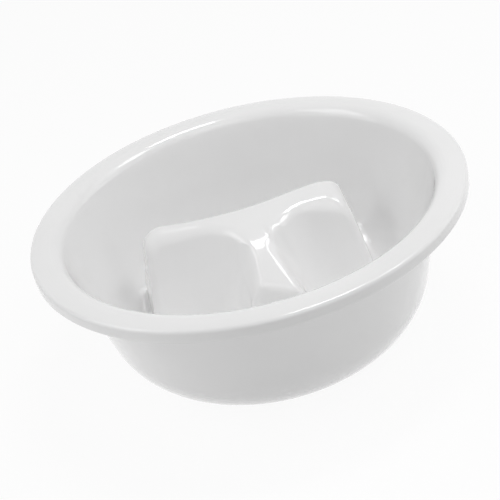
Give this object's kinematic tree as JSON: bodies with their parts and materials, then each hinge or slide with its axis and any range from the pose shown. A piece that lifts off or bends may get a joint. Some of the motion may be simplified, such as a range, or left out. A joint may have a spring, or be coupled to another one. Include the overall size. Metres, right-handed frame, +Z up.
{
  "type": "foot spa basin",
  "caption": "Round white foot basin with a rolled flange and turned-down rim, a saddle-shaped footrest with scooped foot hollows and a middle rib inside, and rubber grip feet below.",
  "frame": {"origin": "on the floor, under the middle of the bowl's rim", "axes": "+Z up along the bowl's axis, +Y away from the user towards the footrest's back, +X to the user's right, along the footrest"},
  "size_m": [0.45, 0.4498, 0.176],
  "materials": {
    "gloss_white": "smooth gloss moulding",
    "grip_rubber": "matt rubber"
  },
  "bodies": {
    "root": {"bowl": "gloss_white", "footrest": "gloss_white", "foot_front_left": "grip_rubber", "foot_front_right": "grip_rubber", "foot_back_left": "grip_rubber", "foot_back_right": "grip_rubber"}
  },
  "joints": []
}
